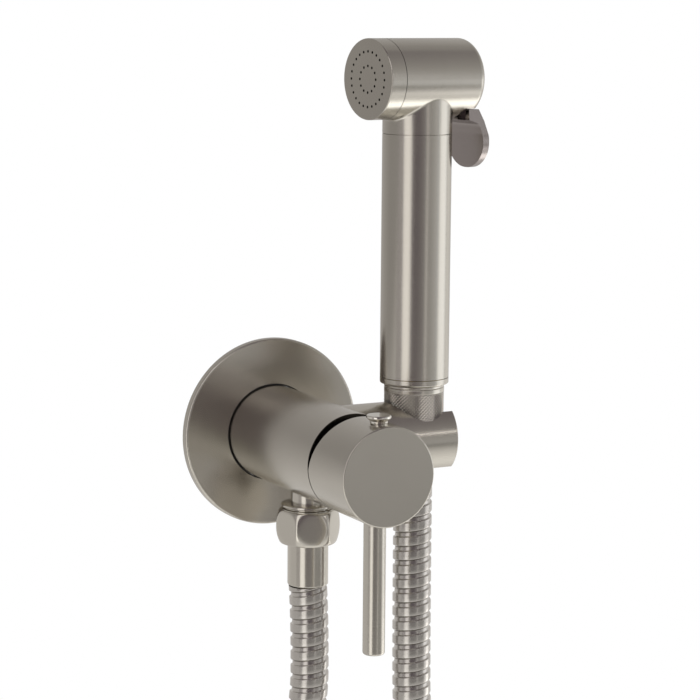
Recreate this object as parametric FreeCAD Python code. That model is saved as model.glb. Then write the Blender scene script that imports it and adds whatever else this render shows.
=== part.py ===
import FreeCAD, Part
import math
import os

from FreeCAD import Matrix, Placement, Rotation, Vector

# Bidet shower mixer. Millimetres, +Z up, +X to the right, the wall is the plane y = 0.
# The origin is the point of the mixer's axis that lies in the wall's face, and "out" is the
# distance from the wall along -Y. "up" is the height above the mixer's axis.

# Clearances
fit = 0.05
slack = 0.3
seam = 0.25

# Pipe threads, as plain cylinders of their size
thread_d = 20.95
thread_core_d = 18.6

# Wall rose and its gasket
rose_d = 75.0
rose_t = 3.2
rose_edge = 0.9
rose_gap = 0.6
gasket_t = 1.2
gasket_in_d = 46.0
gasket_margin = 2.5
rose_ring_t = 1.4

# Mixer barrel
barrel_d = 37.6
barrel_out = 72.7
barrel_in_wall = 6.0
barrel_edge = 0.35
barrel_bore_d = 32.8

# Holder arm
arm_d = 28.8
arm_up = 4.1
arm_end = 47.05
arm_edge = 0.3
handset_x = 35.3
handset_in = 17.4
holder_gap = 0.45
holder_slot = 19.0
seat_up = 5.2
seat_deg = 20.0
seat_hole_d = 17.2

# Cartridge chamber and cartridge, with depths from the barrel's front
chamber_in = 26.7
chamber_d = 26.4
mouth_in = 6.7
mouth_d = 32.4
housing_wall = 1.6
housing_flange_t = 2.0
housing_top_t = 2.0
base_t = 4.8
port_seal_t = 1.0
port_seal_w = 1.2
fixed_disc_t = 3.0
moving_disc_t = 2.0
moving_disc_d = 19.6
moving_disc_up = 1.4
disc_pocket_d = 10.8
disc_pocket_up = 2.8
inlet_port_d = 4.2
inlet_port_side = 5.2
inlet_port_down = 3.6
mixed_port_d = 4.8
mixed_port_up = 5.2
carrier_flange_t = 1.3
carrier_t = 4.2
carrier_d = 12.0
guide_d = 19.0
guide_flange_t = 2.2
pivot_in = 2.7
spindle_d = 8.0
spindle_head_d = 9.0
spindle_ball_d = 4.8
spindle_cover = 5.1
cross_pin_d = 3.0
cross_pin_len = 18.0
ring_nut_recess = 0.7
ring_nut_in_d = 22.0
tilt_deg = 15.0

# Waterways
way_d = 5.6
way_side = 7.5
way_down = 4.0
mixed_way_d = 5.6
mixed_way_up = 6.5
drop_way_d = 7.0
way_seal_w = 1.5
way_seal_t = 1.3

# Screws that hold the barrel
screw_side = 7.5
screw_up = 5.5
screw_d = 3.0
screw_head_d = 5.5
screw_head_t = 3.0
screw_len = 22.0
screw_key = 2.5

# Concealed body
body_d = 42.0
body_front = 8.0
body_back = 44.0
inlet_depth_in_wall = 27.0
inlet_reach = 36.0
inlet_boss_d = 27.0
inlet_thread_len = 15.0

# Cap of the lever
cap_d = 37.4
cap_len = 28.0
cap_gap = 0.4
cap_wedge_deg = 15.8
cap_wedge_up = -1.0
cap_edge = 0.6
cap_wall = 2.8
cap_front = 16.5
grub_d = 5.0
grub_len = 8.0

# Index stud on the cap
stud_in = 8.3
stud_d = 9.3
stud_foot_d = 6.6
stud_h = 3.0
stud_shank = 3.0

# Pin lever
pin_in = 10.6
pin_d = 8.3
pin_down = 68.4
pin_edge = 0.9
pin_thread_d = 5.0
pin_thread_len = 8.0

# Outlet nipple under the barrel
outlet_in = 37.2
neck_d = 13.5
neck_h = 1.8
nipple_depth = 8.5
bridge_t = 8.0
flange_d = 21.0
flange_h = 2.9
nipple_bore_d = 9.0
nipple_len = 10.0
valve_pocket_d = 14.0
valve_len = 8.5

# Hexagon hose nut
hex_gap = 1.0
hex_af = 22.0
hex_corner_d = 25.3
hex_top_d = 22.2
hex_foot_d = 21.6
hex_h = 13.4
hex_turn_deg = 12.3
nut_floor = 1.4
washer_t = 1.8
tail_flange_t = 1.4

# Hose
hose_d = 15.0
hose_bore_d = 9.8
rib_pitch = 5.5
rib_depth = 0.9
rib_share = 0.62
ferrule_d = 15.9
ferrule_h = 16.7
top_ferrule_d = 14.4
top_ferrule_drop = 1.7
tail_d = 9.0
tail_bore_d = 6.5
tail_len = 12.0

# Hose put away as a coil below the mixer
coil_d = 150.0
coil_up = -265.0
coil_gap = 1.6
coil_lean = 30.0
coil_turns = 1.0 + 2.0 / 3.0
coil_lead = 40.0
fall_bends = [(0.0, 0.0, -119.0)]
rise_bends = [(0.0, 0.0, -67.0), (0.8, -0.4, -123.0)]
tie_w = 10.0
tie_t = 1.4

# Cone nut of the hand spray
cone_nut_d = 23.1
cone_groove_down = 1.0
cone_groove = 0.5

# Grip
grip_d = 26.4
grip_wall = 1.5
grip_foot = 25.5
end_ring_h = 2.3
end_ring_edge = 0.6
neck_drop = 20.7
grip_nipple_len = 15.0
nipple_plug_h = 8.5
water_tube_d = 12.0
water_tube_wall = 1.6
tube_socket = 6.0
neck_spigot = 7.0

# Spray head
head_up = 141.3
head_d = 30.2
head_turn_deg = 8.84
head_rear = 21.7
head_rear_round = 3.0
saddle_round = 1.2
groove_fwd = 16.5
face_fwd = 23.5
face_edge = 0.4
face_t = 2.0
face_lip_d = 27.0
spigot_wall = 1.9
face_seal_t = 1.0
face_seal_room = 0.1
hole_d = 1.0
outer_ring_d = 20.5
outer_holes = 24
inner_ring_d = 9.8
inner_holes = 12
neck_way_d = 8.8

# Valve in the head
chamber_back = 7.5
chamber_step_d = 21.0
seat_fwd = 5.0
seat_t = 4.0
seat_orifice_d = 7.0
seat_lip = 0.25
valve_disc_d = 11.0
valve_disc_t = 1.5
valve_plate_t = 1.2
stem_d = 3.0
stem_seal_d = 6.4
stem_seal_t = 1.8
spring_washer_d = 12.0
spring_washer_t = 0.6
spring_d = 7.2
spring_wire = 1.1
spring_turns = 4.5
stem_nut_d = 6.0
stem_nut_t = 1.4
fork_gap = 0.5

# Trigger
bay_front = 12.0
bay_back = 19.6
bay_top = 3.6
trigger_stem_w = 6.4
trigger_cut_down = 11.2
trigger_cut_back = 14.6
trigger_pin_back = 14.6
trigger_pin_down = 8.0
trigger_pin_d = 2.5
trigger_pin_len = 14.0
trigger_eye_d = 4.8
fork_t = 2.4
fork_over = 1.5
shank_room = 1.7
trigger_w = 20.0
paddle_d = 22.0
paddle_down = 34.2
paddle_back = 23.8
paddle_t = 2.8
ear_front = 16.9
ear_foot = 15.6
ear_t = 2.0
web_t = 1.8


def rounded_edges(points, radii, closed=False):
    """Straight edges through the points, with a tangent arc of the given radius at each corner."""
    pts = [Vector(*p) for p in points]
    n = len(pts)
    starts = list(pts)
    ends = list(pts)
    arcs = {}
    corners = range(n) if closed else range(1, n - 1)
    for i in corners:
        r = radii[i]
        if r <= 0:
            continue
        u = (pts[i] - pts[i - 1]).normalize()
        v = (pts[(i + 1) % n] - pts[i]).normalize()
        turn = u.getAngle(v)
        if turn < 1e-6:
            continue
        reach = r * math.tan(turn / 2)
        inward = (v - u).normalize()
        starts[i] = pts[i] - u * reach
        ends[i] = pts[i] + v * reach
        middle = pts[i] + inward * (r / math.cos(turn / 2) - r)
        arcs[i] = Part.Arc(starts[i], middle, ends[i]).toShape()
    edges = []
    for i in range(n if closed else n - 1):
        j = (i + 1) % n
        if (starts[j] - ends[i]).Length > 1e-6:
            edges.append(Part.LineSegment(ends[i], starts[j]).toShape())
        if j in arcs:
            edges.append(arcs[j])
    return edges


def outline(points, rounds=None):
    """A closed face in the XZ plane from (x, z) points; rounds gives the radius of a corner."""
    rounds = rounds or {}
    pts = [(x, 0, z) for x, z in points]
    radii = [rounds.get(i, 0.0) for i in range(len(pts))]
    return Part.Face(Part.Wire(rounded_edges(pts, radii, closed=True)))


def turned(points, rounds=None):
    """A solid of revolution about Z from (radius, height) points."""
    return outline(points, rounds).revolve(Vector(0, 0, 0), Vector(0, 0, 1), 360)


def tube(outer_d, inner_d, low, high):
    return turned([(inner_d / 2, low), (outer_d / 2, low), (outer_d / 2, high), (inner_d / 2, high)])


def rod(d, low, high):
    return turned([(0, low), (d / 2, low), (d / 2, high), (0, high)])


def rod_at(d, low, high, x, y):
    return rod(d, low, high).translated(Vector(x, y, 0))


def rod_x(d, low, high, y, z):
    """A rod along X."""
    bar = rod(d, low, high)
    bar.rotate(Vector(0, 0, 0), Vector(0, 1, 0), 90)
    return bar.translated(Vector(0, y, z))


def block(x0, x1, y0, y1, z0, z1):
    return Part.makeBox(x1 - x0, y1 - y0, z1 - z0, Vector(x0, y0, z0))


def joined(*shapes):
    out = shapes[0]
    for s in shapes[1:]:
        out = out.fuse(s)
    return out.removeSplitter()


def off_wall(shape):
    """From the mixer's frame (x, up, out) to the row's frame."""
    s = shape.copy()
    s.rotate(Vector(0, 0, 0), Vector(1, 0, 0), 90)
    return s


def on_grip(shape):
    """From the grip's own axis to its place in the row's frame."""
    return shape.translated(Vector(handset_x, -handset_out, 0))


def head_axes():
    a = math.radians(head_turn_deg)
    fwd = Vector(-math.cos(a), -math.sin(a), 0)
    up = Vector(0, 0, 1)
    return up.cross(fwd), up, fwd


def on_head(shape):
    """From the spray head's frame (side, up, forward) to the row's frame."""
    side, up, fwd = head_axes()
    m = Matrix(
        side.x, up.x, fwd.x, handset_x,
        side.y, up.y, fwd.y, -handset_out,
        side.z, up.z, fwd.z, head_up,
        0, 0, 0, 1,
    )
    s = shape.copy()
    s.transformShape(m)
    return s


# Derived places of the mixer, measured out from the wall
barrel_r = barrel_d / 2
handset_out = barrel_out - handset_in
chamber_out = barrel_out - chamber_in
mouth_out = barrel_out - mouth_in
pivot_out = barrel_out - pivot_in
housing_out_d = chamber_d - 2 * fit
housing_in_d = housing_out_d - 2 * housing_wall
base_front = chamber_out + base_t
fixed_front = base_front + fixed_disc_t
moving_back = fixed_front + fit
moving_front = moving_back + moving_disc_t
flange_front = moving_front + carrier_flange_t
carrier_front = flange_front + carrier_t
guide_back = carrier_front + slack
guide_flange_front = guide_back + guide_flange_t
housing_front = mouth_out + housing_flange_t
ring_nut_front = barrel_out - ring_nut_recess
guide_front = ring_nut_front + slack
ball_out = flange_front + spindle_ball_d / 2 + slack
cap_rear = barrel_out + cap_gap
cap_out = cap_rear + cap_len
stud_out = cap_out - stud_in
pin_out = cap_out - pin_in
spindle_front = cap_out - spindle_cover

# Derived places of the outlet
outlet_out = barrel_out - outlet_in
outlet_y = -outlet_out
bridge_out = outlet_out - bridge_t
flange_top = -barrel_r - neck_h
flange_foot = flange_top - flange_h
hex_top = flange_foot - hex_gap
hex_foot = hex_top - hex_h
thread_foot = flange_foot - nipple_len
tail_top = thread_foot - washer_t - 2 * fit
tail_foot = tail_top - tail_flange_t
nut_shoulder = tail_foot - 2 * fit
ferrule_foot = hex_foot - ferrule_h

# Derived places of the holder and the hand spray
cone_nut_r = cone_nut_d / 2
cone_nut_top = grip_foot - seam
grip_top = head_up - neck_drop
bore_r = cone_nut_r + holder_gap
seat_tan = math.tan(math.radians(seat_deg))
seat_foot = seat_up - (bore_r - seat_hole_d / 2) / seat_tan
cone_shift = slack / math.cos(math.radians(seat_deg))
cone_top = seat_up - (bore_r - cone_shift - cone_nut_r) / seat_tan
grip_thread_foot = grip_foot - grip_nipple_len
top_washer_foot = grip_thread_foot - fit - washer_t
top_tail_top = top_washer_foot - fit
top_tail_foot = top_tail_top - tail_flange_t
top_shoulder = top_tail_foot - 2 * fit
top_ferrule_foot = arm_up - arm_d / 2 - top_ferrule_drop
grip_start = grip_foot + end_ring_h + seam
plug_top = grip_start + nipple_plug_h
head_r = head_d / 2
grip_r = grip_d / 2
face_back = groove_fwd + seam
spigot_d = face_lip_d - 2 * fit
front_bore_d = spigot_d - 2 * spigot_wall
lip_front = face_fwd - face_t
spigot_front = lip_front - face_seal_t - face_seal_room


def wall_rose():
    hole = barrel_r + rose_gap
    disc = turned(
        [(hole, 0), (rose_d / 2, 0), (rose_d / 2, rose_t), (hole, rose_t)],
        {2: rose_edge},
    )
    recess = tube(rose_d - 2 * gasket_margin, gasket_in_d, -1, gasket_t)
    ring_groove = tube(
        barrel_d + 2 * rose_gap + 2 * rose_ring_t, barrel_d, gasket_t, gasket_t + rose_ring_t
    )
    return off_wall(disc.cut(recess).cut(ring_groove))


def rose_gasket():
    return off_wall(tube(rose_d - 2 * gasket_margin - 2 * fit, gasket_in_d + 2 * fit, 0, gasket_t))


def rose_ring():
    outer = barrel_d + 2 * rose_gap + 2 * rose_ring_t - 2 * fit
    return off_wall(tube(outer, barrel_d + 2 * fit, gasket_t + fit, gasket_t + rose_ring_t - fit))


def waterways(low, high):
    """The hot and cold ways along the mixer's axis."""
    ways = [rod_at(way_d, low, high, side * way_side, -way_down) for side in (-1, 1)]
    return ways[0].fuse(ways[1])


def screw_places():
    return [(side * screw_side, screw_up) for side in (-1, 1)]


def concealed_body():
    """The part in the wall: a block with two inlets and a spigot that the barrel slides over."""
    bulk = rod(body_d, -body_back, -body_front)
    spigot = rod(barrel_bore_d - 2 * fit, -body_front, bridge_out - fit)
    solid = joined(bulk, spigot)
    for side in (-1, 1):
        low, high = sorted((side * way_side, side * inlet_reach))
        solid = solid.fuse(rod_x(inlet_boss_d, low, high, -way_down, -inlet_depth_in_wall))
    solid = solid.removeSplitter()
    for side in (-1, 1):
        mouth = side * inlet_reach
        end = side * (inlet_reach - inlet_thread_len)
        low, high = sorted((mouth, end))
        solid = solid.cut(rod_x(thread_core_d, low, high, -way_down, -inlet_depth_in_wall))
        low, high = sorted((end, side * way_side))
        solid = solid.cut(rod_x(way_d, low, high, -way_down, -inlet_depth_in_wall))
    solid = solid.cut(waterways(-inlet_depth_in_wall, bridge_out))
    for side in (-1, 1):
        seal_d = way_d + 2 * way_seal_w
        solid = solid.cut(
            rod_at(seal_d, bridge_out - fit - way_seal_t, bridge_out, side * way_side, -way_down)
        )
    screw_foot = chamber_out - screw_head_t - screw_len
    for x, up in screw_places():
        solid = solid.cut(rod_at(screw_d + 2 * fit, screw_foot - 1, bridge_out, x, up))
    return off_wall(solid)


def barrel_seals():
    rings = []
    for side in (-1, 1):
        ring = tube(
            way_d + 2 * way_seal_w - 2 * fit, way_d, bridge_out - fit - way_seal_t, bridge_out
        )
        rings.append(off_wall(ring.translated(Vector(side * way_side, -way_down, 0))))
    return Part.makeCompound(rings)


def arm():
    """The holder arm, along +X from the barrel's axis, in the row's frame."""
    end = turned([(0, 0), (arm_d / 2, 0), (arm_d / 2, arm_end), (0, arm_end)], {2: arm_edge})
    end.rotate(Vector(0, 0, 0), Vector(0, 1, 0), 90)
    return end.translated(Vector(0, -handset_out, arm_up))


def holder_cut():
    """Bore, cone seat and hose slot of the holder, on the grip's axis."""
    top = arm_up + arm_d / 2 + 1
    foot = arm_up - arm_d / 2 - 1
    hole_r = seat_hole_d / 2
    bore = turned(
        [(0, foot), (hole_r, foot), (hole_r, seat_foot), (bore_r, seat_up), (bore_r, top), (0, top)]
    )
    slot = block(0, arm_end, -holder_slot / 2, holder_slot / 2, foot, top)
    return on_grip(bore.fuse(slot))


def mixer_barrel():
    shell = off_wall(
        turned(
            [(0, -barrel_in_wall), (barrel_r, -barrel_in_wall), (barrel_r, barrel_out), (0, barrel_out)],
            {2: barrel_edge},
        )
    )
    solid = joined(shell, arm())
    rear = rod(barrel_bore_d, -barrel_in_wall - 1, bridge_out)
    chamber = rod(chamber_d, chamber_out, mouth_out + 1)
    mouth = rod(mouth_d, mouth_out, barrel_out + 1)
    solid = solid.cut(off_wall(rear.fuse(chamber).fuse(mouth)))
    solid = solid.cut(off_wall(waterways(bridge_out - 1, chamber_out + 1)))
    mixed = rod_at(mixed_way_d, outlet_out, chamber_out + 1, 0, mixed_way_up)
    solid = solid.cut(off_wall(mixed))
    for x, up in screw_places():
        hole = rod_at(screw_d + 2 * fit, bridge_out - 1, chamber_out + 1, x, up)
        sink = rod_at(screw_head_d + 2 * fit, chamber_out - screw_head_t - fit, chamber_out + 1, x, up)
        solid = solid.cut(off_wall(hole.fuse(sink)))
    drop = rod_at(drop_way_d, -barrel_r, mixed_way_up, 0, outlet_y)
    socket = rod_at(neck_d + 2 * fit, -barrel_r - 1, -barrel_r + nipple_depth, 0, outlet_y)
    solid = solid.cut(drop.fuse(socket))
    return solid.cut(holder_cut())


def barrel_screws():
    screws = []
    for x, up in screw_places():
        head_back = chamber_out - screw_head_t
        head = rod(screw_head_d, head_back, chamber_out - fit)
        shank = rod(screw_d, head_back - screw_len, head_back)
        key = Part.makePolygon(hexagon(screw_key))
        key = Part.Face(key).extrude(Vector(0, 0, screw_head_t))
        key.translate(Vector(0, 0, chamber_out - screw_head_t / 2))
        screws.append(off_wall(joined(head, shank).cut(key).translated(Vector(x, up, 0))))
    return Part.makeCompound(screws)


def hexagon(across_flats, turn_deg=0.0):
    r = across_flats / math.sqrt(3)
    pts = []
    for k in range(7):
        a = math.radians(turn_deg + 30 + 60 * k)
        pts.append(Vector(r * math.cos(a), r * math.sin(a), 0))
    return pts


def way_places():
    """Hot, cold and mixed ways where the cartridge sits on the barrel: x, up, diameter."""
    return [(-way_side, -way_down, way_d), (way_side, -way_down, way_d), (0, mixed_way_up, mixed_way_d)]


def port_places():
    """The ports of the fixed disc: x, up, diameter."""
    return [
        (-inlet_port_side, -inlet_port_down, inlet_port_d),
        (inlet_port_side, -inlet_port_down, inlet_port_d),
        (0, mixed_port_up, mixed_port_d),
    ]


def rods_at(places, low, high, wider=0.0):
    rods = [rod_at(d + wider, low, high, x, up) for x, up, d in places]
    return rods[0].fuse(rods[1]).fuse(rods[2])


def cartridge_housing():
    top_back = mouth_out - housing_top_t
    wall = tube(housing_out_d, housing_in_d, base_front + fit, top_back)
    top = tube(housing_out_d, guide_d + 2 * slack, top_back, mouth_out)
    flange = tube(mouth_d - 2 * slack, guide_d + 2 * slack, mouth_out, housing_front)
    return off_wall(joined(wall, top, flange))


def cartridge_base():
    """Each way is led from its place in the barrel to its port in the disc."""
    middle = (chamber_out + base_front) / 2
    solid = rod(housing_out_d, chamber_out + fit, base_front)
    solid = solid.cut(rods_at(way_places(), chamber_out - 1, middle + 0.5))
    solid = solid.cut(rods_at(port_places(), middle - 0.5, base_front + 1))
    pockets = rods_at(way_places(), chamber_out - 1, chamber_out + port_seal_t + fit, 2 * port_seal_w)
    return off_wall(solid.cut(pockets))


def cartridge_seals():
    rings = []
    for x, up, d in way_places():
        ring = tube(d + 2 * port_seal_w - 2 * fit, d, chamber_out, chamber_out + port_seal_t)
        rings.append(off_wall(ring.translated(Vector(x, up, 0))))
    return Part.makeCompound(rings)


def fixed_disc():
    solid = rod(housing_in_d - 2 * slack, base_front, fixed_front)
    return off_wall(solid.cut(rods_at(port_places(), base_front - 1, fixed_front + 1)))


def moving_disc():
    """The sliding disc, with the pocket that joins the ports when it slides down."""
    solid = rod_at(moving_disc_d, moving_back, moving_front, 0, moving_disc_up)
    pocket_front = moving_back + moving_disc_t / 2
    pocket = rod_at(disc_pocket_d, moving_back - 1, pocket_front, 0, disc_pocket_up)
    return off_wall(solid.cut(pocket))


def disc_carrier():
    flange = rod_at(moving_disc_d - 0.6, moving_front, flange_front, 0, moving_disc_up)
    boss = rod(carrier_d, flange_front, carrier_front)
    half = spindle_ball_d / 2 + slack
    socket = block(-half, half, -half, half, flange_front, carrier_front + 1)
    return off_wall(joined(flange, boss).cut(socket))


def turning_guide():
    """The sleeve that turns in the housing and holds the spindle's cross pin."""
    sleeve = rod(guide_d, guide_back, guide_front)
    flange = rod(housing_in_d - 2 * slack, guide_back, guide_flange_front)
    lean = math.tan(math.radians(tilt_deg))
    rise = spindle_d / 2 / math.cos(math.radians(tilt_deg))
    low = -(pivot_out - guide_back) * lean - rise - slack
    high = (guide_front - pivot_out) * lean + rise + slack
    half = spindle_d / 2 + slack
    slot = block(-half, half, low, high, guide_back - 1, guide_front + 1)
    pin_hole = rod_x(cross_pin_d + 2 * fit, -guide_d, guide_d, 0, pivot_out)
    return off_wall(joined(sleeve, flange).cut(slot).cut(pin_hole))


def cross_pin():
    return off_wall(rod_x(cross_pin_d, -cross_pin_len / 2, cross_pin_len / 2, 0, pivot_out))


def ring_nut():
    back = housing_front + fit
    ring = tube(mouth_d - 2 * fit, ring_nut_in_d, back, ring_nut_front)
    notch_w = 3.0
    for k in range(4):
        notch = block(ring_nut_in_d / 2 - 1, ring_nut_in_d / 2 + 3, -notch_w / 2, notch_w / 2,
                      ring_nut_front - 1.5, ring_nut_front + 1)
        notch.rotate(Vector(0, 0, 0), Vector(0, 0, 1), 45 + 90 * k)
        ring = ring.cut(notch)
    return off_wall(ring)


def spindle():
    """The lever's stem: a ball in the carrier, the cross pin's hole, and the head in the cap."""
    ball_r = spindle_ball_d / 2
    neck_front = ball_out + spindle_ball_d
    shoulder = guide_front + 2
    top = spindle_front
    solid = turned(
        [
            (0, ball_out - ball_r), (ball_r - 0.7, ball_out - ball_r), (ball_r, ball_out),
            (ball_r - 0.5, neck_front - 1), (spindle_d / 2, neck_front + 1),
            (spindle_d / 2, shoulder), (spindle_head_d / 2, shoulder),
            (spindle_head_d / 2, top), (0, top),
        ],
        {1: 0.5},
    )
    hole = rod_x(cross_pin_d + 2 * fit, -spindle_d, spindle_d, 0, pivot_out)
    return off_wall(solid.cut(hole))


def cap_wedge():
    """What is taken off the cap's rear so that it can tilt."""
    reach = cap_d
    a = math.radians(cap_wedge_deg)
    face = outline(
        [(cap_wedge_up, cap_rear), (cap_wedge_up + reach, cap_rear + reach * math.tan(a)),
         (cap_wedge_up + reach, cap_rear - 5), (cap_wedge_up, cap_rear - 5)]
    )
    solid = face.extrude(Vector(0, 2 * cap_d, 0)).translated(Vector(0, -cap_d, 0))
    solid.rotate(Vector(0, 0, 0), Vector(0, 0, 1), 90)
    return solid


def cap():
    r = cap_d / 2
    solid = turned([(0, cap_rear), (r, cap_rear), (r, cap_out), (0, cap_out)], {2: cap_edge})
    solid = solid.cut(cap_wedge())
    solid = solid.cut(rod(cap_d - 2 * cap_wall, cap_rear - 1, cap_out - cap_front))
    solid = solid.cut(rod(spindle_head_d + 2 * fit, cap_rear, spindle_front + fit))
    solid = off_wall(solid)
    grub = rod_at(grub_d + 2 * fit, 0, r + 1, 0, -stud_out)
    recess = rod_at(stud_foot_d - 1.2 + 2 * fit, r - stud_shank, r + 1, 0, -stud_out)
    pin_hole = rod_at(pin_thread_d + 2 * fit, -r - 1, -r + pin_thread_len + fit, 0, -pin_out)
    flat = rod_at(pin_d + 0.6, -r - 1, -math.sqrt(r * r - (pin_d / 2) ** 2), 0, -pin_out)
    return solid.cut(grub).cut(recess).cut(pin_hole).cut(flat)


def cap_grub_screw():
    """It clamps the cap on the spindle, under the stud."""
    foot = spindle_head_d / 2 + fit
    screw = rod(grub_d, foot, foot + grub_len)
    key = Part.Face(Part.makePolygon(hexagon(grub_d / 2))).extrude(Vector(0, 0, grub_len))
    key.translate(Vector(0, 0, foot + grub_len / 2))
    return screw.cut(key).translated(Vector(0, -stud_out, 0))


def index_stud():
    """A flared polished stud whose shank plugs the grub screw's hole."""
    r = cap_d / 2
    seat = r + fit
    top = r + stud_h
    solid = turned(
        [
            (0, seat - stud_shank), (stud_foot_d / 2 - 0.6, seat - stud_shank),
            (stud_foot_d / 2 - 0.6, seat), (stud_foot_d / 2, seat),
            (stud_foot_d / 2 + 0.1, seat + 0.8), (stud_d / 2, top - 1.0), (stud_d / 2, top - 0.3),
            (stud_d / 2 - 0.3, top), (0, top),
        ],
        {5: 0.4},
    )
    return solid.translated(Vector(0, -stud_out, 0))


def pin_lever():
    r = pin_d / 2
    seat = -math.sqrt((cap_d / 2) ** 2 - r * r) - fit
    thread_top = -cap_d / 2 + pin_thread_len
    solid = turned(
        [(0, -pin_down), (r, -pin_down), (r, seat), (pin_thread_d / 2, seat),
         (pin_thread_d / 2, thread_top), (0, thread_top)],
        {1: pin_edge},
    )
    return solid.translated(Vector(0, -pin_out, 0))


def at_outlet(shape):
    return shape.translated(Vector(0, outlet_y, 0))


def outlet_nipple():
    """Screwed into the barrel; its flange stops above the hose nut."""
    top = -barrel_r + nipple_depth - fit
    solid = turned(
        [
            (nipple_bore_d / 2, top), (nipple_bore_d / 2, thread_foot + valve_len + fit),
            (valve_pocket_d / 2, thread_foot + valve_len + fit), (valve_pocket_d / 2, thread_foot),
            (thread_d / 2, thread_foot), (thread_d / 2, flange_foot), (flange_d / 2, flange_foot),
            (flange_d / 2, flange_top), (neck_d / 2, flange_top), (neck_d / 2, top),
        ],
        {6: 0.4, 7: 0.7},
    )
    return at_outlet(solid)


def check_valve():
    """The non-return valve in the nipple's end."""
    top = thread_foot + valve_len
    cage = tube(valve_pocket_d - 2 * fit, valve_pocket_d - 4, thread_foot, top)
    floor = tube(valve_pocket_d - 2 * fit, 4.0, top - 1.2, top)
    cone = turned(
        [(0, thread_foot + 2), (3.2, thread_foot + 2), (4.4, top - 1.3), (0, top - 1.3)]
    )
    stem = rod(3.6, top - 1.3, top - 0.2)
    arm_x = block(-valve_pocket_d / 2 + 0.6, valve_pocket_d / 2 - 0.6, -0.6, 0.6,
                  thread_foot + 0.2, thread_foot + 2.1)
    return at_outlet(Part.makeCompound([joined(cage, floor, arm_x), joined(cone, stem).cut(arm_x)]))


def hose_washer():
    return at_outlet(tube(thread_d - 1.6, tail_bore_d + 3, tail_top + fit, thread_foot - fit))


def hose_nut():
    """A hexagon whose corners are turned to a barrel shape."""
    prism = Part.Face(Part.makePolygon(hexagon(hex_af, hex_turn_deg))).extrude(Vector(0, 0, hex_h))
    prism.translate(Vector(0, 0, hex_foot))
    mid = hex_foot + 0.5 * hex_h
    edges = [
        Part.LineSegment(Vector(0, 0, hex_foot), Vector(hex_foot_d / 2, 0, hex_foot)).toShape(),
        Part.Arc(
            Vector(hex_foot_d / 2, 0, hex_foot), Vector(hex_corner_d / 2, 0, mid),
            Vector(hex_top_d / 2, 0, hex_top),
        ).toShape(),
        Part.LineSegment(Vector(hex_top_d / 2, 0, hex_top), Vector(0, 0, hex_top)).toShape(),
        Part.LineSegment(Vector(0, 0, hex_top), Vector(0, 0, hex_foot)).toShape(),
    ]
    barrel_shape = Part.Face(Part.Wire(edges)).revolve(Vector(0, 0, 0), Vector(0, 0, 1), 360)
    solid = prism.common(barrel_shape)
    thread = rod(thread_d + 2 * fit, nut_shoulder, hex_top + 1)
    hole = rod(ferrule_d + 2 * fit, hex_foot - 1, nut_shoulder + 1)
    return at_outlet(solid.cut(thread).cut(hole))


def hose_tail(flange_top_z, flange_foot_z, sleeve_foot):
    """A flanged tail piece whose barbed end goes into the hose."""
    foot = sleeve_foot - tail_len
    barbs = 4
    step = (tail_len - 2.0) / barbs
    r = tail_d / 2
    pts = [(tail_bore_d / 2, foot), (r - 0.5, foot)]
    for k in range(barbs):
        z = foot + 0.4 + k * step
        pts += [(r - 0.5, z), (r, z + 0.7 * step), (r - 0.5, z + 0.75 * step)]
    pts += [(r - 0.5, flange_foot_z), (thread_d / 2 - 0.8, flange_foot_z),
            (thread_d / 2 - 0.8, flange_top_z), (tail_bore_d / 2, flange_top_z)]
    return turned(pts)


def lower_tail():
    return at_outlet(hose_tail(tail_top, tail_foot, ferrule_foot))


def lower_ferrule():
    """The smooth sleeve pressed on the hose's end, up to the nut's shoulder."""
    solid = turned(
        [(tail_d / 2 + fit, ferrule_foot), (ferrule_d / 2, ferrule_foot),
         (ferrule_d / 2, tail_foot - fit), (tail_d / 2 + fit, tail_foot - fit)],
        {1: 0.5},
    )
    return at_outlet(solid)


def arc_radii(points):
    """Each arc is as large as its two runs allow: 0.45 of the shorter run."""
    pts = [Vector(*p) for p in points]
    radii = [0.0]
    for a, b, c in zip(pts, pts[1:], pts[2:]):
        turn = (b - a).getAngle(c - b)
        radii.append(0.45 * min((b - a).Length, (c - b).Length) / math.tan(turn / 2))
    return radii + [0.0]


def circle_at(centre, tangent, r):
    """A circle square to the tangent, with its X axis kept near the row's Y axis."""
    t = Vector(tangent).normalize()
    x = Vector(0, 1, 0) - t * t.y
    x.normalize()
    y = t.cross(x)
    m = Matrix(x.x, y.x, t.x, centre.x, x.y, y.y, t.y, centre.y, x.z, y.z, t.z, centre.z, 0, 0, 0, 1)
    edge = Part.makeCircle(r)
    edge.Placement = Placement(m)
    return Part.Wire([edge])


def stations(wire, distances):
    """Point and tangent at each distance along a wire."""
    edges = wire.OrderedEdges
    found = []
    for d in distances:
        left = d
        for k, edge in enumerate(edges):
            if left <= edge.Length + 1e-7 or k == len(edges) - 1:
                break
            left -= edge.Length
        forward = edge.Orientation == "Forward"
        along = min(left, edge.Length) if forward else edge.Length - min(left, edge.Length)
        u = edge.getParameterByLength(along)
        tangent = edge.tangentAt(u)
        found.append((edge.valueAt(u), tangent if forward else tangent * -1))
    return found


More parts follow.
